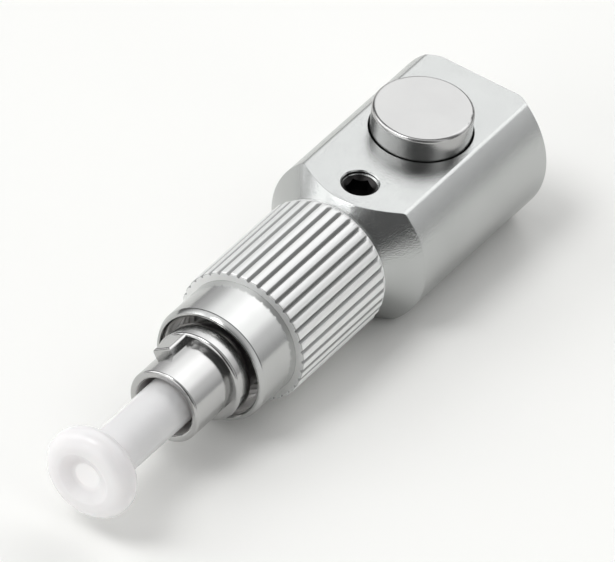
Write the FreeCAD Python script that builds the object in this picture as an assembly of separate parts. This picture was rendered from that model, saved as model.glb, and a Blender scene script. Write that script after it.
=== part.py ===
import FreeCAD, Part
import math
import os

# Bare fibre adapter: a clamp body that holds a bare fibre, and a screw-on plug that it feeds.
# Lengths are in millimetres. X runs along the fibre, from the rear entry to the dust cap,
# +Z is up through the push button, and the origin is the centre of the fibre entry.

# Adapter body
body_diameter = 13.0
flat_depth = 1.62
flat_edge_radius = 0.45
rear_chamfer = 0.6
nose_length = 2.5
nose_diameter = 8.0

# Fibre passage
entry_diameter = 1.5
entry_depth = 2.6
funnel_length = 0.6
fibre_bore_diameter = 0.6

# Push button and its spring
button_diameter = 7.3
button_place = 7.65
button_stand = 1.9
button_skirt = 1.6
skirt_chamfer = 0.15
button_edge_radius = 0.27
button_travel = 1.0
button_clearance = 0.1
button_overtravel = 0.4
clamp_gap = 0.05
spring_pocket_diameter = 4.2
spring_pocket_depth = 1.0
button_spring_clearance = 0.4
button_spring_wire = 0.3
button_spring_pitch = 0.6

# Stop pin in the button's keyway
pin_diameter = 1.2
pin_engagement = 0.8
pin_recess = 0.25
pin_seat_clearance = 0.01
keyway_clearance = 0.05

# Set screw M3, drawn without its thread at the pitch diameter
screw_diameter = 2.68
screw_setback = 3.25
screw_recess = 0.3
screw_thread_clearance = 0.02
screw_tip_diameter = 1.7
screw_tip_clearance = 0.02
screw_hole_edge = 0.08
socket_chamfer = 0.12
hexagon_width = 1.8
hexagon_depth = 1.1
hexagon_sides = 6

# Connector stem
stem_diameter = 4.94
stem_seat_wall = 0.8
stem_length_in_body = 6.4
stem_clearance = 0.03
stem_rear_chamfer = 0.1
stem_collar_length = 1.4
stem_groove_depth = 0.3
stem_groove_length = 2.2
spigot_length = 3.8
spigot_clearance = 0.02

# Key sleeve
sleeve_diameter = 5.7
sleeve_wall = 0.58
sleeve_rim_radius = 0.2
land_rise = 0.1
neck_depth = 0.35
neck_wall = 0.4
flange_rise = 0.675
flange_length = 1.4
flange_place = 14.9
flange_edge_radius = 0.25
barrel_length = 4.0
undercut_length = 0.2
undercut_depth = 0.15
web_place = 10.6
web_length = 1.4
web_bore_clearance = 0.25
key_width = 1.62
key_rise = 0.57
key_length = 1.9
key_angle = 34.5
key_edge_radius = 0.2

# Ferrule, its holder and spring
ferrule_diameter = 2.5
ferrule_stand = 4.4
ferrule_seat_wall = 0.4
ferrule_tip_chamfer = 0.3
ferrule_bore_diameter = 0.127
ferrule_travel = 0.8
holder_length = 2.0
holder_clearance = 0.05
holder_front_gap = 0.02
holder_tail_length = 8.0
tail_diameter = 1.8
tail_bore_clearance = 0.1
tail_spare = 0.8
lug_width = 1.0
lug_length = 1.0
lug_clearance = 0.05
press_clearance = 0.01
ferrule_spring_clearance = 0.45
ferrule_spring_wire = 0.4
ferrule_spring_pitch = 0.87
spring_end_gap = 0.01

# Coupling nut and slip ring
nut_rear_gap = 0.15
nut_lip_clearance = 0.1
nut_lip_wall = 0.7
nut_travel = 4.5
thread_clearance = 0.475
mouth_chamfer = 0.25
collar_wall = 0.5
collar_length = 4.15
collar_edge_chamfer = 0.4
knurl_rise = 0.66
knurl_length = 10.55
knurl_count = 38
knurl_groove_width = 0.34
knurl_groove_depth = 0.24
knurl_rear_length = 0.55
knurl_rear_drop = 0.26
knurl_front_chamfer = 0.1
ring_length = 0.8
ring_width = 0.7
ring_split = 0.8
ring_clearance = 0.05

# Dust cap
cap_wall = 0.6
cap_rear_gap = 1.3
cap_front_reach = 9.7
cap_flange_length = 2.2
cap_flange_radius = 1.0
cap_flange_land = 0.17
cap_flare_radius = 0.45
cap_bore_clearance = 0.02
cap_bore_spare = 0.7
cap_dish_depth = 0.55
cap_dish_diameter = 4.0
cap_dish_floor = 2.0
cap_dish_lip = 0.3

# Places that follow from the sizes above
body_radius = body_diameter / 2
flat_height = body_radius - flat_depth
button_radius = button_diameter / 2
button_top = flat_height + button_stand
button_bottom = -button_skirt
button_floor = button_bottom - button_travel - button_overtravel
button_hole_radius = button_radius + button_clearance
window_radius = button_travel - fibre_bore_diameter / 2 + clamp_gap
spring_seat = button_bottom + spring_pocket_depth
pin_radius = pin_diameter / 2
pin_tip = button_radius - pin_engagement
stem_radius = stem_diameter / 2
stem_rear = button_place + button_hole_radius + stem_seat_wall
stem_bore_radius = stem_radius + stem_clearance
stem_groove_radius = stem_radius - stem_groove_depth
body_front = stem_rear + stem_length_in_body
nose_rear = body_front - nose_length
screw_place = body_front - screw_setback
barrel_radius = sleeve_diameter / 2
sleeve_bore_radius = barrel_radius - sleeve_wall
land_radius = barrel_radius + land_rise
neck_radius = land_radius - neck_depth
rear_bore_radius = neck_radius - neck_wall
flange_radius = barrel_radius + flange_rise
key_height = barrel_radius + key_rise
sleeve_rear = body_front + stem_collar_length
spigot_front = sleeve_rear + spigot_length
flange_front = sleeve_rear + flange_place
flange_rear = flange_front - flange_length
sleeve_front = flange_front + barrel_length
web_rear = sleeve_rear + web_place
web_front = web_rear + web_length
ferrule_radius = ferrule_diameter / 2
ferrule_tip = sleeve_front + ferrule_stand
web_bore_radius = ferrule_radius + web_bore_clearance
holder_front = web_rear - holder_front_gap
holder_rear = holder_front - holder_length
ferrule_rear = holder_rear + ferrule_seat_wall
tail_radius = tail_diameter / 2
tail_rear = holder_rear - holder_tail_length
tail_bore_radius = tail_radius + tail_bore_clearance
tail_bore_rear = tail_rear - ferrule_travel - tail_spare
ring_rear = sleeve_rear + ring_clearance
ring_front = ring_rear + ring_length
ring_inner_radius = neck_radius + ring_clearance
ring_outer_radius = ring_inner_radius + ring_width
neck_front = ring_front + nut_travel + ring_clearance
thread_radius = flange_radius + thread_clearance
collar_radius = thread_radius + collar_wall
crest_radius = collar_radius + knurl_rise
knurl_rear_radius = crest_radius - knurl_rear_drop
knurl_front_radius = crest_radius - knurl_front_chamfer
nut_lip_radius = land_radius + nut_lip_clearance
nut_rear = body_front + nut_rear_gap
knurl_front = nut_rear + knurl_length
nut_front = knurl_front + collar_length
cap_bore_radius = ferrule_radius + cap_bore_clearance
cap_stem_radius = cap_bore_radius + cap_wall
cap_outer_radius = cap_stem_radius + cap_flare_radius + cap_flange_land + cap_flange_radius
cap_front = sleeve_front + cap_front_reach
cap_flange_rear = cap_front - cap_flange_length
cap_rear = web_front + cap_rear_gap
cut_margin = 1.0

along_x = FreeCAD.Vector(1, 0, 0)
origin = FreeCAD.Vector(0, 0, 0)


def point(x=0.0, y=0.0, z=0.0):
    return FreeCAD.Vector(x, y, z)


def corner_arc(before, corner, after, radius):
    """Start, middle and end of the arc that rounds a corner."""
    back = (before - corner).normalize()
    ahead = (after - corner).normalize()
    half_angle = back.getAngle(ahead) / 2
    reach = radius / math.tan(half_angle)
    bisector = (back + ahead).normalize()
    centre = corner + bisector * (radius / math.sin(half_angle))
    return corner + back * reach, centre - bisector * radius, corner + ahead * reach


def outline(corners):
    """Closed wire through (along, out, rounding) corners, in the XY plane."""
    places = [point(along, out) for along, out, rounding in corners]
    runs = []
    for index, (along, out, rounding) in enumerate(corners):
        corner = places[index]
        if rounding > 0:
            following = places[(index + 1) % len(places)]
            runs.append(corner_arc(places[index - 1], corner, following, rounding))
        else:
            runs.append((corner,))
    edges = []
    for index, run in enumerate(runs):
        if len(run) > 1:
            edges.append(Part.Arc(*run).toShape())
        start = run[-1]
        end = runs[(index + 1) % len(runs)][0]
        if start.distanceToPoint(end) > Part.Precision.confusion():
            edges.append(Part.LineSegment(start, end).toShape())
    return Part.Wire(edges)


def turned(corners):
    """Solid turned about X from (along, radius, rounding) corners."""
    return Part.Face(outline(corners)).revolve(origin, along_x, 360)


def upright(shape, x):
    """A shape made along X, stood up along Z at the place x."""
    stood = shape.copy()
    stood.rotate(origin, point(0, 1, 0), -90)
    stood.translate(point(x))
    return stood


def rod(radius, start, end):
    """Round bar along X."""
    return Part.makeCylinder(radius, end - start, point(start), along_x)


def block(x_from, x_to, y_from, y_to, z_from, z_to):
    size = (x_to - x_from, y_to - y_from, z_to - z_from)
    return Part.makeBox(*size, point(x_from, y_from, z_from))


def coil_spring(radius, wire, pitch, start, end):
    """Spring along X between two seats, its coil drawn as tilted half turns."""
    wire_radius = wire / 2
    mean_radius = radius - wire_radius
    first = start + wire_radius + spring_end_gap
    height = end - wire_radius - spring_end_gap - first
    half_turns = round(2 * height / pitch)
    rise = height / half_turns
    reach = math.hypot(mean_radius, rise / 2)
    arcs = []
    for index in range(half_turns):
        side = 1 - 2 * (index % 2)
        place = first + index * rise
        begin = point(place, side * mean_radius)
        middle = point(place + rise / 2, 0, side * reach)
        finish = point(place + rise, -side * mean_radius)
        arcs.append(Part.Arc(begin, middle, finish).toShape())
    section = Part.Wire(Part.makeCircle(wire_radius, point(first, mean_radius), point(0, 0, 1)))
    return Part.Wire(arcs).makePipe(Part.Face(section))


def body_section():
    """Round bar section with two opposite flats and rounded flat edges."""
    inner_height = flat_height - flat_edge_radius
    inner_radius = body_radius - flat_edge_radius
    centre_y = math.sqrt(inner_radius**2 - inner_height**2)
    leave = point(0, centre_y, flat_height)
    meet = point(0, centre_y, inner_height) * (body_radius / inner_radius)
    turn_angle = math.atan2(centre_y, inner_height) / 2
    middle = point(0, centre_y, inner_height)
    middle += point(0, math.sin(turn_angle), math.cos(turn_angle)) * flat_edge_radius

    def mirrored(place, side_y, side_z):
        return point(0, place.y * side_y, place.z * side_z)

    edges = []
    for side in (1, -1):
        edges.append(Part.LineSegment(mirrored(leave, 1, side), mirrored(leave, -1, side)).toShape())
        flank = point(0, side * body_radius)
        edges.append(Part.Arc(mirrored(meet, side, 1), flank, mirrored(meet, side, -1)).toShape())
        for end in (1, -1):
            rounding = [mirrored(place, side, end) for place in (leave, middle, meet)]
            edges.append(Part.Arc(*rounding).toShape())
    return Part.Face(Part.Wire(Part.__sortEdges__(edges)))


def fibre_passage():
    """Entry hole, funnel and fibre bore, from the rear face to the stem's seat."""
    entry_radius = entry_diameter / 2
    bore_radius = fibre_bore_diameter / 2
    funnel_front = entry_depth + funnel_length
    return turned([
        (-cut_margin, 0, 0),
        (-cut_margin, entry_radius, 0),
        (entry_depth, entry_radius, 0),
        (funnel_front, bore_radius, 0),
        (stem_rear + cut_margin, bore_radius, 0),
        (stem_rear + cut_margin, 0, 0),
    ])


def screw_hole():
    """Tapped hole from the flat to the stem's bore, with a broken edge."""
    radius = screw_diameter / 2
    hole = turned([
        (0, 0, 0),
        (0, radius, 0),
        (flat_height - screw_hole_edge, radius, 0),
        (flat_height, radius + screw_hole_edge, 0),
        (flat_height + cut_margin, radius + screw_hole_edge, 0),
        (flat_height + cut_margin, 0, 0),
    ])
    return upright(hole, screw_place)


def make_adapter_body():
    bar = body_section().extrude(point(body_front))
    taper = (body_diameter - nose_diameter) / 2 / nose_length
    envelope = turned([
        (0, 0, 0),
        (0, body_radius - rear_chamfer, 0),
        (rear_chamfer + cut_margin, body_radius + cut_margin, 0),
        (nose_rear - cut_margin / taper, body_radius + cut_margin, 0),
        (body_front, nose_diameter / 2, 0),
        (body_front, 0, 0),
    ])
    button_hole = upright(rod(button_hole_radius, button_floor, button_top), button_place)
    stem_bore = rod(stem_bore_radius, stem_rear, body_front + cut_margin)
    pin_hole = Part.makeCylinder(
        pin_radius + pin_seat_clearance, body_radius + cut_margin, point(button_place), point(0, -1, 0)
    )
    cutters = [fibre_passage(), button_hole, screw_hole(), stem_bore, pin_hole]
    return bar.common(envelope).cut(cutters)


def make_push_button():
    button = turned([
        (button_bottom, 0, 0),
        (button_bottom, button_radius - skirt_chamfer, 0),
        (button_bottom + skirt_chamfer, button_radius, 0),
        (button_top, button_radius, button_edge_radius),
        (button_top, 0, 0),
    ])
    pocket = rod(spring_pocket_diameter / 2, button_bottom - cut_margin, spring_seat)
    button = upright(button.cut(pocket), button_place)
    window = Part.makeCylinder(
        window_radius, 2 * button_diameter, point(button_place - button_diameter, 0, button_travel), along_x
    )
    half_width = pin_radius + keyway_clearance
    keyway = block(
        button_place - half_width,
        button_place + half_width,
        -button_diameter,
        -(pin_tip - keyway_clearance),
        -pin_radius - keyway_clearance,
        pin_radius + button_travel + keyway_clearance,
    )
    return button.cut([window, keyway])


def make_button_spring():
    radius = spring_pocket_diameter / 2 - button_spring_clearance
    spring = coil_spring(radius, button_spring_wire, button_spring_pitch, button_floor, spring_seat)
    return upright(spring, button_place)


def make_stop_pin():
    length = body_radius - pin_recess - pin_tip
    return Part.makeCylinder(pin_radius, length, point(button_place, -pin_tip), point(0, -1, 0))


def make_set_screw():
    radius = screw_diameter / 2 - screw_thread_clearance
    tip = stem_groove_radius + screw_tip_clearance
    tip_radius = screw_tip_diameter / 2
    top = flat_height - screw_recess
    screw = turned([
        (tip, 0, 0),
        (tip, tip_radius, 0),
        (tip + radius - tip_radius, radius, 0),
        (top - screw_hole_edge, radius, 0),
        (top, radius - screw_hole_edge, 0),
        (top, 0, 0),
    ])
    turn = 2 * math.pi / hexagon_sides
    reach = hexagon_width / 2 / math.cos(turn / 2)
    corners = []
    for index in range(hexagon_sides + 1):
        angle = turn * (index + 0.5)
        corners.append(point(top - hexagon_depth, reach * math.cos(angle), reach * math.sin(angle)))
    socket = Part.Face(Part.makePolygon(corners)).extrude(point(hexagon_depth + cut_margin))
    mouth_bottom = top - socket_chamfer - reach + hexagon_width / 2
    mouth = turned([
        (mouth_bottom, 0, 0),
        (mouth_bottom, hexagon_width / 2, 0),
        (top + cut_margin, reach + socket_chamfer + cut_margin, 0),
        (top + cut_margin, 0, 0),
    ])
    return upright(screw.cut([socket, mouth]), screw_place)


def make_connector_stem():
    groove_rear = screw_place - stem_groove_length / 2
    groove_front = screw_place + stem_groove_length / 2
    spigot_radius = rear_bore_radius - spigot_clearance
    bore_radius = fibre_bore_diameter / 2
    return turned([
        (stem_rear, bore_radius, 0),
        (stem_rear, stem_radius - stem_rear_chamfer, 0),
        (stem_rear + stem_rear_chamfer, stem_radius, 0),
        (groove_rear, stem_radius, 0),
        (groove_rear, stem_groove_radius, 0),
        (groove_front, stem_groove_radius, 0),
        (groove_front, stem_radius, 0),
        (body_front, stem_radius, 0),
        (body_front, land_radius, 0),
        (sleeve_rear, land_radius, 0),
        (sleeve_rear, spigot_radius, 0),
        (spigot_front, spigot_radius, 0),
        (spigot_front, tail_bore_radius, 0),
        (tail_bore_rear, tail_bore_radius, 0),
        (tail_bore_rear - tail_bore_radius + bore_radius, bore_radius, 0),
    ])


def lug_pair(width, inner_radius, outer_radius, rear, front):
    """Two opposite driving lugs, between two radii."""
    bars = block(rear, front, -outer_radius, outer_radius, -width / 2, width / 2)
    return bars.common(rod(outer_radius, rear, front)).cut(rod(inner_radius, rear, front))


def make_key_sleeve():
    undercut_radius = barrel_radius - undercut_depth
    undercut_front = flange_front + undercut_length
    sleeve = turned([
        (sleeve_rear, rear_bore_radius, 0),
        (sleeve_rear, neck_radius, 0),
        (neck_front, neck_radius, 0),
        (neck_front, land_radius, 0),
        (flange_rear, land_radius, 0),
        (flange_rear, flange_radius, 0),
        (flange_front, flange_radius, flange_edge_radius),
        (flange_front, undercut_radius, 0),
        (undercut_front, undercut_radius, 0),
        (undercut_front + undercut_depth, barrel_radius, 0),
        (sleeve_front, barrel_radius, sleeve_rim_radius),
        (sleeve_front, sleeve_bore_radius, sleeve_rim_radius),
        (web_front, sleeve_bore_radius, 0),
        (web_front, web_bore_radius, 0),
        (web_rear, web_bore_radius, 0),
        (web_rear, rear_bore_radius, 0),
    ])
    slots = lug_pair(
        lug_width + 2 * lug_clearance, 0, rear_bore_radius, web_rear - cut_margin, web_front + cut_margin
    )
    return sleeve.fuse(locating_key()).cut(slots).removeSplitter()


def locating_key():
    """Key bar with a rounded front end, turned to its place round the sleeve."""
    root = barrel_radius - sleeve_wall / 2
    side = key_width / 2
    rear = flange_front - flange_edge_radius
    front = flange_front + key_length
    bar = block(rear, front, -side, side, root, key_height)
    top_edges = []
    for edge in bar.Edges:
        centre = edge.CenterOfMass
        on_top = centre.z > (root + key_height) / 2 and edge.BoundBox.ZLength < key_edge_radius
        if on_top and centre.x > flange_front:
            top_edges.append(edge)
    key = bar.makeFillet(key_edge_radius, top_edges)
    key.rotate(origin, along_x, key_angle)
    return key


def make_slip_ring():
    ring = rod(ring_outer_radius, ring_rear, ring_front)
    bore = rod(ring_inner_radius, ring_rear, ring_front)
    half_split = ring_split / 2
    split = block(ring_rear, ring_front, -half_split, half_split, 0, 2 * ring_outer_radius)
    return ring.cut([bore, split])


def knurl_grooves():
    """Straight V grooves, evenly spaced round the nut."""
    rise = crest_radius + knurl_groove_depth
    spread = knurl_groove_width
    groove = Part.Face(Part.makePolygon([
        point(nut_rear - cut_margin, 0, crest_radius - knurl_groove_depth),
        point(nut_rear - cut_margin, spread, rise),
        point(nut_rear - cut_margin, -spread, rise),
        point(nut_rear - cut_margin, 0, crest_radius - knurl_groove_depth),
    ])).extrude(point(knurl_length + 2 * cut_margin))
    grooves = []
    for index in range(knurl_count):
        turned_groove = groove.copy()
        turned_groove.rotate(origin, along_x, 360 * index / knurl_count)
        grooves.append(turned_groove)
    return grooves


def make_coupling_nut():
    groove_rear = ring_rear - ring_clearance
    groove_front = ring_front + ring_clearance
    lip_front = groove_front + nut_lip_wall
    groove_radius = ring_outer_radius + ring_clearance
    nut = turned([
        (nut_rear, nut_lip_radius, 0),
        (nut_rear, knurl_rear_radius, 0),
        (nut_rear + knurl_rear_length, crest_radius, 0),
        (knurl_front - knurl_front_chamfer, crest_radius, 0),
        (knurl_front, knurl_front_radius, 0),
        (knurl_front, collar_radius, 0),
        (nut_front - collar_edge_chamfer, collar_radius, 0),
        (nut_front, collar_radius - collar_edge_chamfer / 2, 0),
        (nut_front, thread_radius + mouth_chamfer / 2, 0),
        (nut_front - mouth_chamfer, thread_radius, 0),
        (lip_front, thread_radius, 0),
        (lip_front, nut_lip_radius, 0),
        (groove_front, nut_lip_radius, 0),
        (groove_front, groove_radius, 0),
        (groove_rear, groove_radius, 0),
        (groove_rear, nut_lip_radius, 0),
    ])
    return nut.cut(knurl_grooves())


def make_ferrule():
    bore_radius = ferrule_bore_diameter / 2
    return turned([
        (ferrule_rear, bore_radius, 0),
        (ferrule_rear, ferrule_radius, 0),
        (ferrule_tip - ferrule_tip_chamfer, ferrule_radius, 0),
        (ferrule_tip, ferrule_radius - ferrule_tip_chamfer, 0),
        (ferrule_tip, bore_radius, 0),
    ])


def make_ferrule_holder():
    collar_radius = rear_bore_radius - holder_clearance
    seat_radius = ferrule_radius + press_clearance
    bore_radius = fibre_bore_diameter / 2
    funnel_radius = (tail_radius + bore_radius) / 2
    holder = turned([
        (tail_rear, funnel_radius, 0),
        (tail_rear, tail_radius, 0),
        (holder_rear, tail_radius, 0),
        (holder_rear, collar_radius, 0),
        (holder_front, collar_radius, 0),
        (holder_front, seat_radius, 0),
        (ferrule_rear, seat_radius, 0),
        (ferrule_rear, bore_radius, 0),
        (tail_rear + funnel_radius - bore_radius, bore_radius, 0),
    ])
    lug_rear = holder_front - holder_length / 2
    lug_front = holder_front + lug_length
    lugs = lug_pair(lug_width, web_bore_radius, collar_radius, lug_rear, lug_front)
    return holder.fuse(lugs).removeSplitter()


def make_ferrule_spring():
    radius = rear_bore_radius - ferrule_spring_clearance
    return coil_spring(radius, ferrule_spring_wire, ferrule_spring_pitch, spigot_front, holder_rear)


def make_dust_cap():
    bore_front = ferrule_tip + cap_bore_spare
    return turned([
        (cap_rear, cap_bore_radius, 0),
        (cap_rear, cap_stem_radius, 0),
        (cap_flange_rear, cap_stem_radius, cap_flare_radius),
        (cap_flange_rear, cap_outer_radius, cap_flange_radius),
        (cap_front, cap_outer_radius, cap_flange_radius),
        (cap_front, cap_dish_diameter / 2, cap_dish_lip),
        (cap_front - cap_dish_depth, cap_dish_floor / 2, 0),
        (cap_front - cap_dish_depth, 0, 0),
        (bore_front, 0, 0),
        (bore_front, cap_bore_radius, 0),
    ])


pieces = {
    "adapter_body": make_adapter_body,
    "push_button": make_push_button,
    "button_spring": make_button_spring,
    "stop_pin": make_stop_pin,
    "set_screw": make_set_screw,
    "connector_stem": make_connector_stem,
    "key_sleeve": make_key_sleeve,
    "slip_ring": make_slip_ring,
    "coupling_nut": make_coupling_nut,
    "ferrule": make_ferrule,
    "ferrule_holder": make_ferrule_holder,
    "ferrule_spring": make_ferrule_spring,
    "dust_cap": make_dust_cap,
}

os.makedirs("parts", exist_ok=True)
for name, make in pieces.items():
    shape = make()
    print(name, shape.ShapeType, len(shape.Solids), shape.isValid(), round(shape.Volume, 3))
    shape.exportStep("parts/" + name + ".step")
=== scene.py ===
import math

import bmesh
import bpy
from mathutils import Matrix, Vector


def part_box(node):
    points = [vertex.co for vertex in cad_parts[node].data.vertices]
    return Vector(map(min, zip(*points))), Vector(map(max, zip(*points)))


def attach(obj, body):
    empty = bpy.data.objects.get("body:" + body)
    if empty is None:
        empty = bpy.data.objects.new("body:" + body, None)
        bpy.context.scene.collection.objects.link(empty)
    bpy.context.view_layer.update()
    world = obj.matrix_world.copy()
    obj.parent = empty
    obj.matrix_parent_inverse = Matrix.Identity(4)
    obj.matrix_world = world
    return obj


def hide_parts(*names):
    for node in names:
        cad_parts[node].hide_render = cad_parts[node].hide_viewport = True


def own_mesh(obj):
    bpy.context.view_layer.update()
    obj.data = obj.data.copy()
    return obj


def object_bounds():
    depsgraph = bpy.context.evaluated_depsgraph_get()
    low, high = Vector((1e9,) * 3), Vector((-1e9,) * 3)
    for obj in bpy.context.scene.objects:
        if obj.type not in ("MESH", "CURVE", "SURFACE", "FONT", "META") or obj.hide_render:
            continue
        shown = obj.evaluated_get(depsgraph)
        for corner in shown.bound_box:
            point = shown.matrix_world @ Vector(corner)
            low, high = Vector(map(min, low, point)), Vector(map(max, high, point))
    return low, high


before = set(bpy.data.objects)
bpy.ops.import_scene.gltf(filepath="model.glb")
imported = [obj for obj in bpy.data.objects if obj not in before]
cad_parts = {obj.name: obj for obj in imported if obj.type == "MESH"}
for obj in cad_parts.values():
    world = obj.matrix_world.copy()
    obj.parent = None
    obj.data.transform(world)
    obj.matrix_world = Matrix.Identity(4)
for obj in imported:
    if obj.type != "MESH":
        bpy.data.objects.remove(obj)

CAD_LOW, CAD_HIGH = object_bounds()
MM = 0.001
WELD_DISTANCE = 1e-7

# Sizes of the body in millimetres that the boxes of the frame don't give
SECTION_EDGE = 0.45
REAR_CHAMFER = 0.6
EDGE_BREAK = 0.08
NOSE_LENGTH = 2.5
NOSE_RADIUS = 4.0
ENTRY_RADIUS = 0.75
ENTRY_DEPTH = 2.6
FUNNEL_LENGTH = 0.6
FIBRE_RADIUS = 0.3
STEM_RADIUS = 2.47
STEM_CLEARANCE = 0.03
BUTTON_CLEARANCE = 0.1
BUTTON_WELL_FLOOR = -3.0
SCREW_CLEARANCE = 0.02
SCREW_PITCH = 0.5
SCREW_THREAD_HEIGHT = 0.1
PIN_CLEARANCE = 0.01
CUT_MARGIN = 1.0

# Sizes of the plug and its nut
KNURL_LENGTH = 10.55
KNURL_COUNT = 38
KNURL_GROOVE_WIDTH = 0.34
KNURL_GROOVE_DEPTH = 0.24
KNURL_CROWN = 0.04
KNURL_REAR_LENGTH = 0.55
KNURL_REAR_DROP = 0.26
KNURL_FRONT_CHAMFER = 0.1
COLLAR_RADIUS = 4.5
COLLAR_CHAMFER = 0.4
COLLAR_RIM_RADIUS = 0.3
NUT_EDGE_BREAK = 0.03
MOUTH_CHAMFER = 0.25
THREAD_RADIUS = 4.0
THREAD_HEIGHT = 0.34
THREAD_PITCH = 0.75
THREAD_TURNS = 10.5
LIP_RADIUS = 3.05
LIP_WALL = 0.7
RING_CLEARANCE = 0.05
SLEEVE_BORE_RADIUS = 2.27

# Thread ridges: half widths of foot and top as shares of the pitch, and how deep the foot is sunk.
# A ridge starts and ends with a share of its height, and gains the rest over a part of a turn.
RIDGE_FOOT = 0.42
RIDGE_TOP = 0.08
RIDGE_SINK = 0.05
RIDGE_START = 0.05
RIDGE_FADES_PER_TURN = 3

# Finishes: how near a point counts as on a face, the noise values at the two ends of a finish, and tool marks
ON_FACE = 0.01
NOISE_RANGE = (0.3, 0.7)
TURNING_MARK = 0.12
TURNING_STRETCH = (1.0, 0.02, 0.02)

# Finish of the knurl: its colours, with painted shade darkening the grooves and a painted highlight that
# makes the shoulder pale, and the shares of the groove's depth between which they change
GROOVE_SHADE_COLOUR = (0.38, 0.384, 0.38)
CREST_COLOUR = (0.88, 0.885, 0.88)
GROOVE_TO_CREST = (0.64, 0.9)
SHOULDER_HIGHLIGHT_COLOUR = (0.85, 0.855, 0.85, 1)
KNURL_DULLNESS = 0.42

# Finish of the cap: a painted glow of light through the thin web in its head, with the radii between which it
# fades in, and how far light soaks in at two places behind its front
WEB_GLOW_COLOUR = (0.91, 0.9, 0.9, 1)
WEB_GLOW_EDGE = (1.25, 0.85)
WEB_GLOW_DEPTH = 1.5
SOAK_PLACES = (4.0, 1.0)
SOAK_DEPTHS = (1.5, 2.5)

# Studio: a dim room, and bright strips that arch over the part from side to side.
# A strip has its place along X, the half widths where it is full and where it has faded, its light,
# and its glow by degrees from the top.
ROOM_LIGHT = 0.13
REAR_GLOW = {-115: 0.05, -90: 0.16, -68: 0.3, -32: 0.75, 0: 1.0, 30: 0.8, 55: 0.4, 90: 0.18, 115: 0.1}
FRONT_GLOW = {-105: 0.15, -80: 0.9, -40: 1.0, -10: 0.85, 20: 0.65, 45: 0.65, 90: 0.8, 105: 0.2}
STRIPS = [
    {"place": -0.66, "full": 0.1, "faded": 0.3, "light": 2.15, "glow": REAR_GLOW},
    {"place": 0.13, "full": 0.08, "faded": 0.28, "light": 1.2, "glow": FRONT_GLOW},
]

# Far soft lamps, each with its direction, its width in degrees and its brightness
LAMPS = {
    "key": ((0.42, -0.3, 0.857), 24, 6.4),
    "front_box": ((0.93, -0.25, 0.27), 45, 1.6),
    "left_box": ((0.42, -0.75, 0.51), 38, 1.9),
}


def node_box(name):
    """Lowest and highest corner of a CAD node, in millimetres."""
    low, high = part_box(name)
    return low / MM, high / MM


BODY_HIGH = node_box("adapter_body")[1]
BUTTON_LOW, BUTTON_HIGH = node_box("push_button")
SCREW_LOW, SCREW_HIGH = node_box("set_screw")
PIN_HIGH = node_box("stop_pin")[1]
NUT_LOW, NUT_HIGH = node_box("coupling_nut")
RING_LOW, RING_HIGH = node_box("slip_ring")

# Places that follow from the sizes and boxes
BODY_RADIUS = BODY_HIGH.y
FLAT_HEIGHT = BODY_HIGH.z
BODY_FRONT = BODY_HIGH.x
NOSE_REAR = BODY_FRONT - NOSE_LENGTH
STEM_REAR = node_box("connector_stem")[0].x
STEM_BORE_RADIUS = STEM_RADIUS + STEM_CLEARANCE
BUTTON_X = (BUTTON_LOW.x + BUTTON_HIGH.x) / 2
BUTTON_RADIUS = (BUTTON_HIGH.x - BUTTON_LOW.x) / 2
SCREW_X = (SCREW_LOW.x + SCREW_HIGH.x) / 2
SCREW_HOLE_RADIUS = (SCREW_HIGH.x - SCREW_LOW.x) / 2 + SCREW_CLEARANCE
PIN_HOLE_RADIUS = PIN_HIGH.z + PIN_CLEARANCE
CREST_RADIUS = NUT_HIGH.y
ROOT_RADIUS = CREST_RADIUS - KNURL_GROOVE_DEPTH
KNURL_FRONT = NUT_LOW.x + KNURL_LENGTH
CAP_FRONT = node_box("dust_cap")[1].x


def new_object(name, data):
    """An object in the scene that holds the given data."""
    piece = bpy.data.objects.new(name, data)
    bpy.context.scene.collection.objects.link(piece)
    return piece


def closed_mesh(name, vertices, faces):
    """A welded mesh from points in millimetres, with its faces turned outwards."""
    mesh = bpy.data.meshes.new(name)
    mesh.from_pydata([Vector(vertex) * MM for vertex in vertices], [], faces)
    work = bmesh.new()
    work.from_mesh(mesh)
    bmesh.ops.remove_doubles(work, verts=work.verts, dist=WELD_DISTANCE)
    bmesh.ops.recalc_face_normals(work, faces=work.faces)
    work.to_mesh(mesh)
    work.free()
    return mesh


def mesh_piece(name, vertices, faces, body, slot, replaced=()):
    """A new piece from points in millimetres, riding on a body."""
    piece = new_object(name, closed_mesh(name, vertices, faces))
    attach(piece, body)
    if replaced:
        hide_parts(*replaced)
    return piece


def ring_faces(loops, points, closed):
    """Quads that join loops of equal length, closing the last loop to the first if asked."""
    faces = []
    spans = loops if closed else loops - 1
    for row in range(spans):
        here = row * points
        there = (row + 1) % loops * points
        for step in range(points):
            following = (step + 1) % points
            faces.append((here + step, here + following, there + following, there + step))
    return faces


def polar(x, radius, angle):
    """Point at a radius and an angle from the top, round the X axis."""
    return x, radius * math.sin(angle), radius * math.cos(angle)


def fillet(before, corner, after, radius, steps=3):
    """Points of the arc that rounds a corner of a profile in the plane."""
    corner = Vector(corner)
    back = (Vector(before) - corner).normalized()
    ahead = (Vector(after) - corner).normalized()
    half = back.angle(ahead) / 2
    centre = corner + (back + ahead).normalized() * (radius / math.sin(half))
    start = corner + back * (radius / math.tan(half)) - centre
    end = corner + ahead * (radius / math.tan(half)) - centre
    arc = []
    for step in range(steps + 1):
        blend = start.lerp(end, step / steps)
        arc.append(tuple(centre + blend.normalized() * radius))
    return arc


def smooth(piece, angle=30):
    """Smooth shading that keeps edges sharper than the angle."""
    piece.data.polygons.foreach_set("use_smooth", [True] * len(piece.data.polygons))
    piece.data.set_sharp_from_angle(angle=math.radians(angle))
    weighted = piece.modifiers.new("weighted", "WEIGHTED_NORMAL")
    weighted.keep_sharp = True


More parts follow.
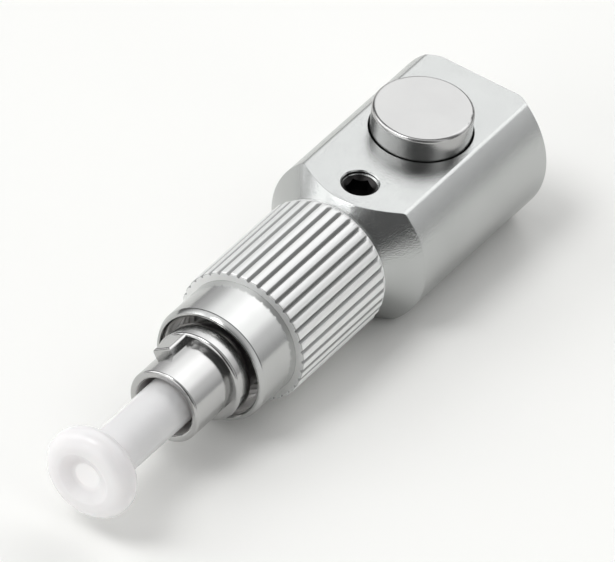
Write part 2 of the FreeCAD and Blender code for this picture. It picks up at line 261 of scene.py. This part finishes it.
def cut(piece, vertices, faces):
    """Cuts a closed shape out of a piece."""
    mesh = closed_mesh("cutter", vertices, faces)
    cutter = new_object("cutter", mesh)
    boolean = piece.modifiers.new("cut", "BOOLEAN")
    boolean.operation = "DIFFERENCE"
    boolean.solver = "EXACT"
    boolean.object = cutter
    graph = bpy.context.evaluated_depsgraph_get()
    result = bpy.data.meshes.new_from_object(piece.evaluated_get(graph))
    piece.modifiers.remove(boolean)
    piece.data = result
    bpy.data.objects.remove(cutter)
    bpy.data.meshes.remove(mesh)


def turned_cutter(profile, place, segments):
    """Closed upright turning of (radius, height) points at a place on the X axis."""
    vertices = []
    for radius, height in profile:
        for step in range(segments):
            angle = 2 * math.pi * step / segments
            vertices.append((place + radius * math.cos(angle), radius * math.sin(angle), height))
    faces = ring_faces(len(profile), segments, False)
    faces.append(tuple(range(segments)))
    faces.append(tuple(range((len(profile) - 1) * segments, len(profile) * segments)))
    return vertices, faces


def flat_hole(radius, floor, edge):
    """Profile of a hole cut down from the flat, with a broken edge at its mouth."""
    return [
        (radius, floor),
        (radius, FLAT_HEIGHT - edge),
        (radius + edge, FLAT_HEIGHT),
        (radius + edge, FLAT_HEIGHT + CUT_MARGIN),
    ]


def section_points(flat_steps=10, corner_steps=6, flank_steps=26):
    """Round section with two flats and rounded flat edges, as (angle, radius) points."""
    inner = BODY_RADIUS - SECTION_EDGE
    inner_height = FLAT_HEIGHT - SECTION_EDGE
    centre_y = math.sqrt(inner**2 - inner_height**2)
    flat_end = math.atan2(centre_y, inner_height)
    quarter = []
    for step in range(flat_steps + 1):
        quarter.append((centre_y * step / flat_steps, FLAT_HEIGHT))
    for step in range(1, corner_steps + 1):
        turn = flat_end * step / corner_steps
        y = centre_y + SECTION_EDGE * math.sin(turn)
        quarter.append((y, inner_height + SECTION_EDGE * math.cos(turn)))
    for step in range(1, flank_steps + 1):
        turn = flat_end + (math.pi / 2 - flat_end) * step / flank_steps
        quarter.append((BODY_RADIUS * math.sin(turn), BODY_RADIUS * math.cos(turn)))
    half = quarter + [(y, -z) for y, z in reversed(quarter[:-1])]
    loop = half + [(-y, z) for y, z in reversed(half[1:-1])]
    return [(math.atan2(y, z), math.hypot(y, z)) for y, z in loop]


def body_profile(reach):
    """Closed profile of the body where its section has the given radius."""
    shoulder = BODY_RADIUS - REAR_CHAMFER
    rear_edge = min(shoulder, reach - EDGE_BREAK)
    side_start = max(reach - shoulder, EDGE_BREAK)
    taper = (BODY_RADIUS - NOSE_RADIUS) / NOSE_LENGTH
    side_end = NOSE_REAR + (BODY_RADIUS - reach) / taper
    rear_inner = (0, ENTRY_RADIUS + EDGE_BREAK)
    rear_corner = (0, rear_edge)
    side_rear = (side_start, reach)
    side_front = (side_end, reach)
    nose = (BODY_FRONT, NOSE_RADIUS)
    nose_inner = (BODY_FRONT, STEM_BORE_RADIUS + EDGE_BREAK)
    rear_break = EDGE_BREAK / 2
    outer = [rear_inner]
    outer += fillet(rear_inner, rear_corner, side_rear, rear_break)
    outer += fillet(rear_corner, side_rear, side_front, rear_break)
    outer += fillet(side_rear, side_front, nose, EDGE_BREAK)
    outer += fillet(side_front, nose, nose_inner, EDGE_BREAK)
    inner = [
        nose_inner,
        (BODY_FRONT - EDGE_BREAK, STEM_BORE_RADIUS),
        (STEM_REAR, STEM_BORE_RADIUS),
        (STEM_REAR, FIBRE_RADIUS),
        (ENTRY_DEPTH + FUNNEL_LENGTH, FIBRE_RADIUS),
        (ENTRY_DEPTH, ENTRY_RADIUS),
        (EDGE_BREAK, ENTRY_RADIUS),
    ]
    return outer + inner


def make_body():
    """Clamp body: turned envelope with milled flats, then its three holes."""
    section = section_points()
    columns = [body_profile(reach) for _, reach in section]
    vertices = []
    for row in range(len(columns[0])):
        for (angle, _), column in zip(section, columns):
            x, radius = column[row]
            vertices.append(polar(x, radius, angle))
    faces = ring_faces(len(columns[0]), len(section), True)
    body = mesh_piece("body_shell", vertices, faces, "adapter", "body_nickel", ("adapter_body",))
    button_well = flat_hole(BUTTON_RADIUS + BUTTON_CLEARANCE, BUTTON_WELL_FLOOR, EDGE_BREAK / 2)
    cut(body, *turned_cutter(button_well, BUTTON_X, segments=128))
    screw_hole = flat_hole(SCREW_HOLE_RADIUS, STEM_BORE_RADIUS / 2, EDGE_BREAK)
    cut(body, *turned_cutter(screw_hole, SCREW_X, segments=96))
    pin_hole = [(PIN_HOLE_RADIUS, -PIN_HIGH.y), (PIN_HOLE_RADIUS, BODY_RADIUS + CUT_MARGIN)]
    vertices, faces = turned_cutter(pin_hole, 0, segments=48)
    sideways = [(x + BUTTON_X, -z, y) for x, y, z in vertices]
    cut(body, sideways, faces)
    smooth(body)
    return body


def knurl_section(crown_steps=8):
    """One turn of straight ridges with crowned tops and V grooves, as (angle, radius) points."""
    pitch = 2 * math.pi / KNURL_COUNT
    groove = KNURL_GROOVE_WIDTH / 2 / CREST_RADIUS
    half_crest = pitch / 2 - groove
    tooth = [(0.0, ROOT_RADIUS)]
    for step in range(crown_steps + 1):
        across = 2 * step / crown_steps - 1
        tooth.append((pitch / 2 + across * half_crest, CREST_RADIUS - KNURL_CROWN * across**2))
    return [(index * pitch + angle, radius) for index in range(KNURL_COUNT) for angle, radius in tooth]


def nut_profile():
    """Closed profile of the nut as (x, radius) points, ridges at their crests."""
    rear, front = NUT_LOW.x, NUT_HIGH.x
    groove_rear = RING_LOW.x - RING_CLEARANCE
    groove_front = RING_HIGH.x + RING_CLEARANCE
    groove_radius = RING_HIGH.z + RING_CLEARANCE
    lip_front = groove_front + LIP_WALL
    collar_rear = (KNURL_FRONT, COLLAR_RADIUS)
    collar_top = (front - COLLAR_CHAMFER, COLLAR_RADIUS)
    collar_rim = (front, COLLAR_RADIUS - COLLAR_CHAMFER / 2)
    mouth_rim = (front, THREAD_RADIUS + MOUTH_CHAMFER / 2)
    mouth_end = (front - MOUTH_CHAMFER, THREAD_RADIUS)
    profile = [
        (rear, LIP_RADIUS),
        (rear, CREST_RADIUS - KNURL_REAR_DROP),
        (rear + KNURL_REAR_LENGTH, CREST_RADIUS),
        (KNURL_FRONT - KNURL_FRONT_CHAMFER, CREST_RADIUS),
        (KNURL_FRONT, CREST_RADIUS - KNURL_FRONT_CHAMFER),
        collar_rear,
    ]
    profile += fillet(collar_rear, collar_top, collar_rim, COLLAR_RIM_RADIUS, steps=4)
    profile += fillet(collar_top, collar_rim, mouth_rim, NUT_EDGE_BREAK)
    profile += fillet(collar_rim, mouth_rim, mouth_end, NUT_EDGE_BREAK)
    profile += [
        mouth_end,
        (lip_front, THREAD_RADIUS),
        (lip_front, LIP_RADIUS),
        (groove_front, LIP_RADIUS),
        (groove_front, groove_radius),
        (groove_rear, groove_radius),
        (groove_rear, LIP_RADIUS),
    ]
    return profile


def make_nut():
    """Coupling nut: ridged outside, evenly turned elsewhere, with its inner thread as a piece of its own."""
    section = knurl_section()
    vertices = []
    profile = nut_profile()
    for x, radius in profile:
        for index, (angle, reach) in enumerate(section):
            if radius <= COLLAR_RADIUS:
                angle = 2 * math.pi * index / len(section)
            vertices.append(polar(x, min(radius, reach), angle))
    faces = ring_faces(len(profile), len(section), True)
    nut = mesh_piece("nut_shell", vertices, faces, "nut", "nut_nickel", ("coupling_nut",))
    smooth(nut, angle=25)
    thread_front = NUT_HIGH.x - 2 * MOUTH_CHAMFER
    thread_rear = thread_front - THREAD_TURNS * THREAD_PITCH
    thread = helix_ridge(thread_rear, thread_front, THREAD_RADIUS, THREAD_HEIGHT, THREAD_PITCH, segments=96)
    thread_piece = mesh_piece("nut_thread", *thread, "nut", "nut_nickel")
    smooth(thread_piece)
    return nut, thread_piece


def helix_ridge(start, end, radius, height, pitch, segments, last_angle=0.0):
    """Closed V ridge that winds along X on the inside of a bore, fading in at both ends."""
    steps = round((end - start) / pitch * segments)
    foot = pitch * RIDGE_FOOT
    top = pitch * RIDGE_TOP
    corners = [(-foot, RIDGE_SINK), (-top, -height), (top, -height), (foot, RIDGE_SINK)]
    vertices = []
    for step in range(steps + 1):
        angle = last_angle + 2 * math.pi * (step - steps) / segments
        place = start + (end - start) * step / steps
        from_end = min(step, steps - step)
        fade = min(1.0, from_end / segments * RIDGE_FADES_PER_TURN + RIDGE_START)
        for along, out in corners:
            rise = out * fade if out < 0 else out
            vertices.append(polar(place + along * fade, radius + rise, angle))
    sides = len(corners)
    first_end = tuple(range(sides))
    last_end = tuple(range(sides * steps, sides * steps + sides))
    return vertices, [first_end, last_end] + ring_faces(steps + 1, sides, False)


def make_hole_thread():
    """Thread turns on the wall of the set screw's hole, above the screw."""
    top = FLAT_HEIGHT - 2 * EDGE_BREAK
    bottom = SCREW_HIGH.z - SCREW_PITCH
    run_out = math.radians(150)
    vertices, faces = helix_ridge(
        bottom, top, SCREW_HOLE_RADIUS, SCREW_THREAD_HEIGHT, SCREW_PITCH, segments=64, last_angle=run_out
    )
    upright = [(SCREW_X - z, y, x) for x, y, z in vertices]
    thread = mesh_piece("hole_thread", upright, faces, "adapter", "body_nickel")
    smooth(thread)
    return thread


def make_spring(name, node):
    """Coil spring copied from its CAD node, riding on the adapter in its place."""
    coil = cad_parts[node]
    spring = new_object(name, coil.data.copy())
    spring.matrix_world = coil.matrix_world
    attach(spring, "adapter")
    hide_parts(node)
    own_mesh(spring)
    return spring


class Nodes:
    """Short hand for building a node tree."""

    def __init__(self, tree, keep=False):
        self.tree = tree
        if not keep:
            self.tree.nodes.clear()

    def add(self, kind, **settings):
        node = self.tree.nodes.new(kind)
        for name, value in settings.items():
            setattr(node, name, value)
        return node

    def link(self, source, target):
        self.tree.links.new(source, target)

    def feed(self, value, target):
        """Gives a socket the output of another node, or a plain value."""
        if isinstance(value, bpy.types.NodeSocket):
            self.link(value, target)
        else:
            target.default_value = value

    def place(self, kind="Object"):
        return self.add("ShaderNodeTexCoord").outputs[kind]

    def axes(self, vector):
        """X, Y and Z of a vector."""
        node = self.add("ShaderNodeSeparateXYZ")
        self.link(vector, node.inputs["Vector"])
        return node.outputs

    def math(self, operation, *values):
        node = self.add("ShaderNodeMath", operation=operation)
        for value, target in zip(values, node.inputs):
            self.feed(value, target)
        return node.outputs["Value"]

    def reach(self, axes):
        """Distance from the part's axis."""
        squares = self.math("MULTIPLY", axes["Y"], axes["Y"])
        return self.math("SQRT", self.math("MULTIPLY_ADD", axes["Z"], axes["Z"], squares))

    def noise(self, vector, scale, detail=3.0, roughness=0.5):
        """Cloudy noise with a number of features to the metre."""
        node = self.add("ShaderNodeTexNoise")
        self.link(vector, node.inputs["Vector"])
        node.inputs["Scale"].default_value = scale
        node.inputs["Detail"].default_value = detail
        node.inputs["Roughness"].default_value = roughness
        return node.outputs["Fac"]

    def remap(self, value, source, target=(0.0, 1.0), **settings):
        """A value carried from one range to another and held at its ends."""
        node = self.add("ShaderNodeMapRange", **settings)
        self.link(value, node.inputs["Value"])
        ends = {"From Min": source[0], "From Max": source[1], "To Min": target[0], "To Max": target[1]}
        for name, end in ends.items():
            node.inputs[name].default_value = end
        return node.outputs["Result"]

    def tint(self, value, low, high, ends=NOISE_RANGE):
        """A colour between two, which are reached where the value is at the ends."""
        node = self.add("ShaderNodeValToRGB")
        self.link(value, node.inputs["Fac"])
        first, last = node.color_ramp.elements
        first.position, last.position = ends
        first.color = (*low, 1)
        last.color = (*high, 1)
        return node.outputs["Color"]

    def mix(self, factor, first, second, kind="RGBA"):
        node = self.add("ShaderNodeMix", data_type=kind)
        self.feed(factor, node.inputs["Factor"])
        self.feed(first, node.inputs["A"])
        self.feed(second, node.inputs["B"])
        return node.outputs["Result"]

    def stretch(self, vector, scale):
        node = self.add("ShaderNodeMapping")
        self.link(vector, node.inputs["Vector"])
        node.inputs["Scale"].default_value = scale
        return node.outputs["Vector"]

    def bump(self, height, strength, distance):
        node = self.add("ShaderNodeBump")
        self.link(height, node.inputs["Height"])
        node.inputs["Strength"].default_value = strength
        node.inputs["Distance"].default_value = distance
        return node.outputs["Normal"]


def new_material(name):
    """A material with its nodes, its shader and the place on the piece that its patterns follow."""
    material = bpy.data.materials.new(name)
    material.use_nodes = True
    nodes = Nodes(material.node_tree)
    output = nodes.add("ShaderNodeOutputMaterial")
    shader = nodes.add("ShaderNodeBsdfPrincipled")
    nodes.link(shader.outputs["BSDF"], output.inputs["Surface"])
    return material, nodes, shader, nodes.place()


def metal(name, dark, light, rough, grain_size, grain_depth, turning=0.0):
    """Plated metal with cloudy tint, uneven gloss and a fine grain; turning adds tool rings round X."""
    material, nodes, shader, place = new_material(name)
    shader.inputs["Metallic"].default_value = 1.0
    clouds = nodes.noise(place, scale=220.0)
    nodes.link(nodes.tint(clouds, dark, light), shader.inputs["Base Color"])
    blotches = nodes.noise(place, scale=900.0, detail=4.0)
    nodes.link(nodes.remap(blotches, NOISE_RANGE, rough), shader.inputs["Roughness"])
    height = nodes.noise(place, scale=1 / (grain_size * MM), roughness=0.6)
    if turning:
        marks = nodes.stretch(place, TURNING_STRETCH)
        rings = nodes.noise(marks, scale=1 / (TURNING_MARK * MM), roughness=0.7)
        height = nodes.mix(turning, height, rings, kind="FLOAT")
    nodes.link(nodes.bump(height, 1.0, grain_depth * MM), shader.inputs["Normal"])
    return material


def reopen(material):
    """The nodes and shader of a finished material, and the axes of the place on the piece."""
    nodes = Nodes(material.node_tree, keep=True)
    shader = material.node_tree.nodes["Principled BSDF"]
    return nodes, shader, nodes.axes(nodes.place())


def repaint(nodes, shader, where, colour):
    """Another colour where a mask is 1."""
    under = shader.inputs["Base Color"].links[0].from_socket
    nodes.link(nodes.mix(where, under, colour), shader.inputs["Base Color"])


def roughen(nodes, shader, where, amount):
    """A duller finish where a mask is 1."""
    under = shader.inputs["Roughness"].links[0].from_socket
    nodes.link(nodes.math("MULTIPLY_ADD", where, amount, under), shader.inputs["Roughness"])


def knurl_shade_and_highlight(material):
    """Rolled crests on the knurl, duller and paler than the turned faces, with painted shade darkening the
    grooves between; the shoulder is duller too, and painted pale as a highlight.
    """
    nodes, shader, axes = reopen(material)
    reach = nodes.reach(axes)
    taper = (NUT_LOW.x * MM, (NUT_LOW.x + KNURL_REAR_LENGTH) * MM)
    drop = nodes.remap(axes["X"], taper, (KNURL_REAR_DROP * MM, 0.0))
    rise = nodes.remap(nodes.math("ADD", reach, drop), (ROOT_RADIUS * MM, CREST_RADIUS * MM))
    # Painted shade: the base colour darkens from the crests down to the groove roots
    ridge_shade_colour = nodes.tint(rise, GROOVE_SHADE_COLOUR, CREST_COLOUR, GROOVE_TO_CREST)
    behind = nodes.math("LESS_THAN", axes["X"], (KNURL_FRONT - ON_FACE) * MM)
    ahead = nodes.math("GREATER_THAN", axes["X"], (NUT_LOW.x + ON_FACE) * MM)
    outside = nodes.math("GREATER_THAN", reach, (COLLAR_RADIUS + ON_FACE) * MM)
    on_ridge = nodes.math("MULTIPLY", nodes.math("MULTIPLY", behind, ahead), outside)
    at_front = nodes.math("COMPARE", axes["X"], KNURL_FRONT * MM, ON_FACE * MM)
    on_shoulder = nodes.math("MULTIPLY", at_front, outside)
    repaint(nodes, shader, on_ridge, ridge_shade_colour)
    # Painted highlight: the shoulder face is painted pale in place of a bright reflection
    repaint(nodes, shader, on_shoulder, SHOULDER_HIGHLIGHT_COLOUR)
    roughen(nodes, shader, nodes.math("MAXIMUM", on_ridge, on_shoulder), KNURL_DULLNESS)


def bore_painted_light(material, radius, start, colour, dullness):
    """Unpolished metal inside a bore of the given radius that starts at a place along X, its colour painted
    paler as painted light where the bore is in shade.
    """
    nodes, shader, axes = reopen(material)
    within = nodes.math("LESS_THAN", nodes.reach(axes), (radius + ON_FACE) * MM)
    beyond = nodes.math("GREATER_THAN", axes["X"], start * MM)
    inside = nodes.math("MULTIPLY", within, beyond)
    # Painted light: the bore's wall is painted paler than the metal outside
    repaint(nodes, shader, inside, colour)
    roughen(nodes, shader, inside, dullness)


def cap_plastic():
    """Milky soft plastic that light soaks into, with painted light making it palest at the thin web in the
    head.
    """
    material, nodes, shader, place = new_material("milky_plastic")
    axes = nodes.axes(place)
    clouds = nodes.noise(place, scale=350.0)
    thick = nodes.tint(clouds, low=(0.75, 0.74, 0.747), high=(0.78, 0.773, 0.775))
    # Painted light: the thin web at the head's centre is painted paler, as if lit through from behind
    web_glow = nodes.remap(nodes.reach(axes), [radius * MM for radius in WEB_GLOW_EDGE])
    in_head = nodes.math("GREATER_THAN", axes["X"], (CAP_FRONT - WEB_GLOW_DEPTH) * MM)
    colour = nodes.mix(nodes.math("MULTIPLY", web_glow, in_head), thick, WEB_GLOW_COLOUR)
    nodes.link(colour, shader.inputs["Base Color"])
    blotches = nodes.noise(place, scale=1500.0)
    nodes.link(nodes.remap(blotches, NOISE_RANGE, (0.18, 0.26)), shader.inputs["Roughness"])
    shader.inputs["Subsurface Weight"].default_value = 1.0
    shader.inputs["Subsurface Radius"].default_value = (1.0, 0.95, 0.95)
    stem_to_head = [(CAP_FRONT - behind) * MM for behind in SOAK_PLACES]
    soak = nodes.remap(axes["X"], stem_to_head, [depth * MM for depth in SOAK_DEPTHS])
    nodes.link(soak, shader.inputs["Subsurface Scale"])
    grain = nodes.noise(place, scale=2500.0)
    nodes.link(nodes.bump(grain, strength=0.4, distance=0.01 * MM), shader.inputs["Normal"])
    return material


def ceramic():
    """Smooth white ceramic, slightly warm."""
    material, nodes, shader, place = new_material("white_ceramic")
    clouds = nodes.noise(place, scale=500.0)
    colour = nodes.tint(clouds, low=(0.86, 0.85, 0.82), high=(0.9, 0.89, 0.86))
    nodes.link(colour, shader.inputs["Base Color"])
    blotches = nodes.noise(place, scale=3000.0)
    nodes.link(nodes.remap(blotches, NOISE_RANGE, (0.08, 0.16)), shader.inputs["Roughness"])
    return material


def floor_paper():
    """Pale studio paper."""
    material, nodes, shader, place = new_material("studio_paper")
    clouds = nodes.noise(place, scale=6.0, detail=2.0)
    colour = nodes.tint(clouds, low=(0.94, 0.94, 0.92), high=(0.95, 0.95, 0.93))
    nodes.link(colour, shader.inputs["Base Color"])
    shader.inputs["Roughness"].default_value = 0.9
    shader.inputs["Specular IOR Level"].default_value = 0.1
    return material


def dress(objects, material):
    """Gives each object the material in place of its own."""
    for piece in objects:
        piece.data.materials.clear()
        piece.data.materials.append(material)


def make_floor():
    """Wide plain floor under the part."""
    reach = 3.0
    corners = [(-reach, -reach), (reach, -reach), (reach, reach), (-reach, reach)]
    mesh = bpy.data.meshes.new("floor")
    mesh.from_pydata([(x, y, CAD_LOW.z) for x, y in corners], [], [(0, 1, 2, 3)])
    floor = new_object("floor", mesh)
    floor.data.materials.append(floor_paper())


def softbox(name, direction, width_deg, radiance):
    """Round soft light of a given brightness, far away in a direction."""
    lamp = bpy.data.lights.new(name, "SUN")
    lamp.angle = math.radians(width_deg)
    lamp.energy = radiance * math.pi * math.sin(lamp.angle / 2) ** 2
    holder = new_object(name, lamp)
    holder.rotation_mode = "QUATERNION"
    holder.rotation_quaternion = Vector(direction).to_track_quat("Z", "Y")


def strip_light(nodes, axes, strip):
    """Brightness of one strip in the direction that the axes give."""
    offset = nodes.math("ABSOLUTE", nodes.math("SUBTRACT", axes["X"], strip["place"]))
    across = nodes.remap(offset, (strip["faded"], strip["full"]), interpolation_type="SMOOTHSTEP")
    turn = nodes.math("ARCTAN2", axes["Y"], axes["Z"])
    along = nodes.add("ShaderNodeValToRGB")
    along.color_ramp.interpolation = "EASE"
    nodes.link(nodes.math("MULTIPLY_ADD", turn, 0.5 / math.pi, 0.5), along.inputs["Fac"])
    stops = along.color_ramp.elements
    while len(stops) < len(strip["glow"]):
        stops.new(0.5)
    for stop, (degrees, glow) in zip(stops, strip["glow"].items()):
        stop.position = 0.5 + degrees / 360
        stop.color = (glow, glow, glow, 1)
    shape = nodes.math("MULTIPLY", across, along.outputs["Color"])
    return nodes.math("MULTIPLY", shape, strip["light"])


def make_world():
    """Dim white room with the bright strips."""
    world = bpy.data.worlds.new("studio")
    world.use_nodes = True
    bpy.context.scene.world = world
    nodes = Nodes(world.node_tree)
    output = nodes.add("ShaderNodeOutputWorld")
    background = nodes.add("ShaderNodeBackground")
    nodes.link(background.outputs["Background"], output.inputs["Surface"])
    axes = nodes.axes(nodes.place("Generated"))
    total = ROOM_LIGHT
    for strip in STRIPS:
        total = nodes.math("ADD", strip_light(nodes, axes, strip), total)
    nodes.link(total, background.inputs["Strength"])
    background.inputs["Color"].default_value = (1, 1, 1, 1)


def make_camera():
    """Camera at the photograph's angle: turn, height and roll about the body's cone edge."""
    turn, height, roll = math.radians(119.95), math.radians(40.46), math.radians(6.41)
    distance = 769.2
    focal_px, frame_px = 10975.0, 615.0
    aim_offset = (-2.848, -2.791)
    back = Vector((math.sin(turn) * math.cos(height), -math.cos(turn) * math.cos(height), math.sin(height)))
    right = Vector((math.cos(turn), math.sin(turn), 0))
    up = back.cross(right)
    right, up = (
        right * math.cos(roll) + up * math.sin(roll),
        up * math.cos(roll) - right * math.sin(roll),
    )
    data = bpy.data.cameras.new("camera")
    data.sensor_width = 36.0
    data.lens = data.sensor_width * focal_px / frame_px
    data.clip_start, data.clip_end = 0.01, 20.0
    camera = new_object("camera", data)
    place = Vector((NOSE_REAR, 0, 0)) + back * distance + right * aim_offset[0] + up * aim_offset[1]
    turned = Matrix((right, up, back)).transposed().to_4x4()
    camera.matrix_world = Matrix.Translation(place * MM) @ turned
    bpy.context.scene.camera = camera


# Pieces
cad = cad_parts
body = make_body()
nut, nut_thread = make_nut()
hole_thread = make_hole_thread()
button_coil = make_spring("button_coil", "button_spring")
ferrule_coil = make_spring("ferrule_coil", "ferrule_spring")

# Finishes
body_metal = metal(
    "body_nickel",
    dark=(0.45, 0.46, 0.455),
    light=(0.48, 0.49, 0.485),
    rough=(0.17, 0.22),
    grain_size=0.11,
    grain_depth=0.018,
)
button_metal = metal(
    "button_nickel",
    dark=(0.445, 0.445, 0.442),
    light=(0.47, 0.47, 0.466),
    rough=(0.22, 0.26),
    grain_size=0.08,
    grain_depth=0.002,
)
nut_metal = metal(
    "nut_nickel",
    dark=(0.46, 0.465, 0.46),
    light=(0.49, 0.495, 0.49),
    rough=(0.15, 0.19),
    grain_size=0.08,
    grain_depth=0.001,
    turning=0.4,
)
plug_metal = metal(
    "plug_nickel",
    dark=(0.45, 0.45, 0.447),
    light=(0.48, 0.48, 0.476),
    rough=(0.15, 0.19),
    grain_size=0.08,
    grain_depth=0.0015,
    turning=0.5,
)
steel = metal(
    "spring_steel",
    dark=(0.42, 0.42, 0.42),
    light=(0.5, 0.5, 0.5),
    rough=(0.2, 0.3),
    grain_size=0.06,
    grain_depth=0.003,
)
black = metal(
    "black_oxide",
    dark=(0.018, 0.017, 0.017),
    light=(0.05, 0.048, 0.048),
    rough=(0.25, 0.45),
    grain_size=0.06,
    grain_depth=0.01,
)
# Painted shade in the knurl's grooves and a painted highlight on its shoulder
knurl_shade_and_highlight(nut_metal)
nut_bore_start = RING_HIGH.x + LIP_WALL
# Painted light inside the nut's bore and the sleeve's bore; the added dullness is a rougher finish
bore_painted_light(nut_metal, THREAD_RADIUS, nut_bore_start, colour=(0.78, 0.77, 0.76, 1), dullness=0.14)
bore_painted_light(plug_metal, SLEEVE_BORE_RADIUS, STEM_REAR, colour=(0.75, 0.74, 0.73, 1), dullness=0.5)
dress([body, hole_thread], body_metal)
dress([nut, nut_thread], nut_metal)
dress([cad["push_button"]], button_metal)
dress([cad["key_sleeve"], cad["connector_stem"], cad["ferrule_holder"]], plug_metal)
dress([cad["slip_ring"], cad["stop_pin"], button_coil, ferrule_coil], steel)
dress([cad["set_screw"]], black)
dress([cad["ferrule"]], ceramic())
dress([cad["dust_cap"]], cap_plastic())

# Studio
make_floor()
make_world()
for lamp_name, (direction, width, brightness) in LAMPS.items():
    softbox(lamp_name, direction, width, brightness)
make_camera()
bpy.context.scene.view_settings.view_transform = "Standard"
